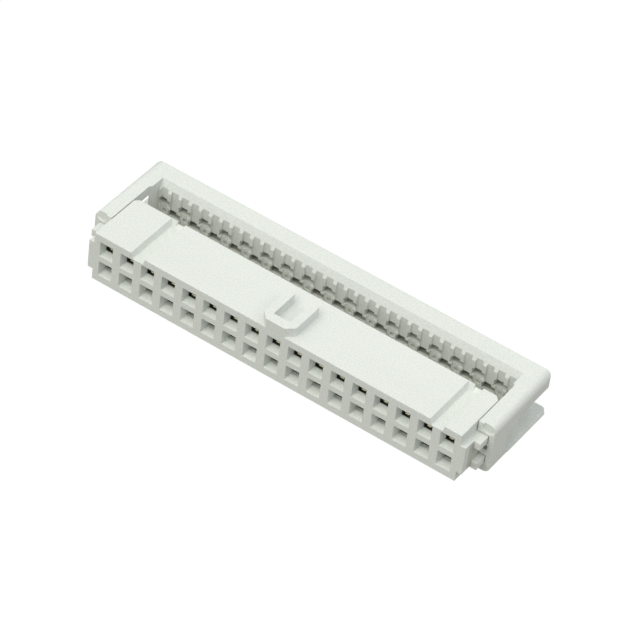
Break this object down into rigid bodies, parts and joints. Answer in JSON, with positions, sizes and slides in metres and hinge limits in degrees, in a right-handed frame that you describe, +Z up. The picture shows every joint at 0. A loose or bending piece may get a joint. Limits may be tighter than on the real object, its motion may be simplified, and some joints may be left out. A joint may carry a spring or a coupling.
{
  "type": "ribbon cable socket connector",
  "caption": "Two-row socket for flat ribbon cable: moulded housing with tapered pin sockets, polarising key and forked contacts, and a sliding cover that presses the cable home.",
  "frame": {"origin": "middle of the contact grid, on the mating face", "axes": "+X along the contact rows, +Y from the mating face to the cover, +Z up on the side of the polarising key"},
  "size_m": [0.048, 0.0131, 0.0073],
  "materials": {
    "grey_plastic": "pale grey moulded polyester, fine matt texture",
    "plated_contact": "pale gold flash over stamped copper alloy"
  },
  "bodies": {
    "socket": {"housing": "grey_plastic", "contact_a01": "plated_contact", "contact_a02": "plated_contact", "contact_a03": "plated_contact", "contact_a04": "plated_contact", "contact_a05": "plated_contact", "contact_a06": "plated_contact", "contact_a07": "plated_contact", "contact_a08": "plated_contact", "contact_a09": "plated_contact", "contact_a10": "plated_contact", "contact_a11": "plated_contact", "contact_a12": "plated_contact", "contact_a13": "plated_contact", "contact_a14": "plated_contact", "contact_a15": "plated_contact", "contact_a16": "plated_contact", "contact_a17": "plated_contact", "contact_b01": "plated_contact", "contact_b02": "plated_contact", "contact_b03": "plated_contact", "contact_b04": "plated_contact", "contact_b05": "plated_contact", "contact_b06": "plated_contact", "contact_b07": "plated_contact", "contact_b08": "plated_contact", "contact_b09": "plated_contact", "contact_b10": "plated_contact", "contact_b11": "plated_contact", "contact_b12": "plated_contact", "contact_b13": "plated_contact", "contact_b14": "plated_contact", "contact_b15": "plated_contact", "contact_b16": "plated_contact", "contact_b17": "plated_contact"},
    "cover": {"cover": "grey_plastic"}
  },
  "joints": [
    {"name": "cover_close", "type": "slide", "parent": "socket", "child": "cover", "axis": [0, -1, 0], "range_m": [0, 0.0027]}
  ]
}
